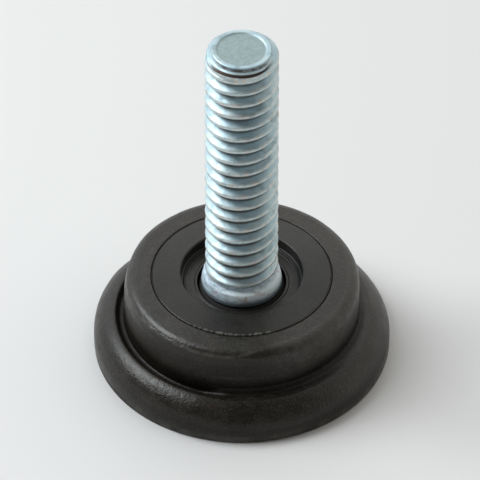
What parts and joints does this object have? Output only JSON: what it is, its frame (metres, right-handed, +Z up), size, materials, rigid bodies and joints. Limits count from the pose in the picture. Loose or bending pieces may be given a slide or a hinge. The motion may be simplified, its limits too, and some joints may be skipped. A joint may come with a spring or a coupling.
{
  "type": "furniture leveling foot",
  "caption": "Swivel leveling foot: a zinc-plated threaded stud whose ball end turns and leans in a nylon core, inside a stepped black rubber foot.",
  "frame": {"origin": "on the floor at the centre of the rubber foot", "axes": "+Z up along the threaded stud; the foot is round about Z, so X and Y are free"},
  "size_m": [0.0254, 0.0254, 0.033],
  "materials": {
    "rubber": "moulded black rubber, satin, with a fine grain and scuffed edges",
    "nylon": "moulded black nylon, smooth satin",
    "steel": "plain pressed steel",
    "zinc": "clear blue zinc plate over rolled thread"
  },
  "bodies": {
    "foot": {"rubber_foot": "rubber", "socket_core": "nylon", "backing_plate": "steel"},
    "thrust_ring": {"thrust_ring": "steel"},
    "stud": {"threaded_stud": "zinc"}
  },
  "joints": [
    {"name": "stud_swivel", "type": "hinge", "parent": "foot", "child": "thrust_ring", "pos_m": [0, 0, 0.0046], "axis": [0, 0, 1], "continuous": true},
    {"name": "stud_lean", "type": "hinge", "parent": "thrust_ring", "child": "stud", "pos_m": [0, 0, 0.0046], "axis": [1, 0, 0], "range_deg": [-7, 7]}
  ]
}
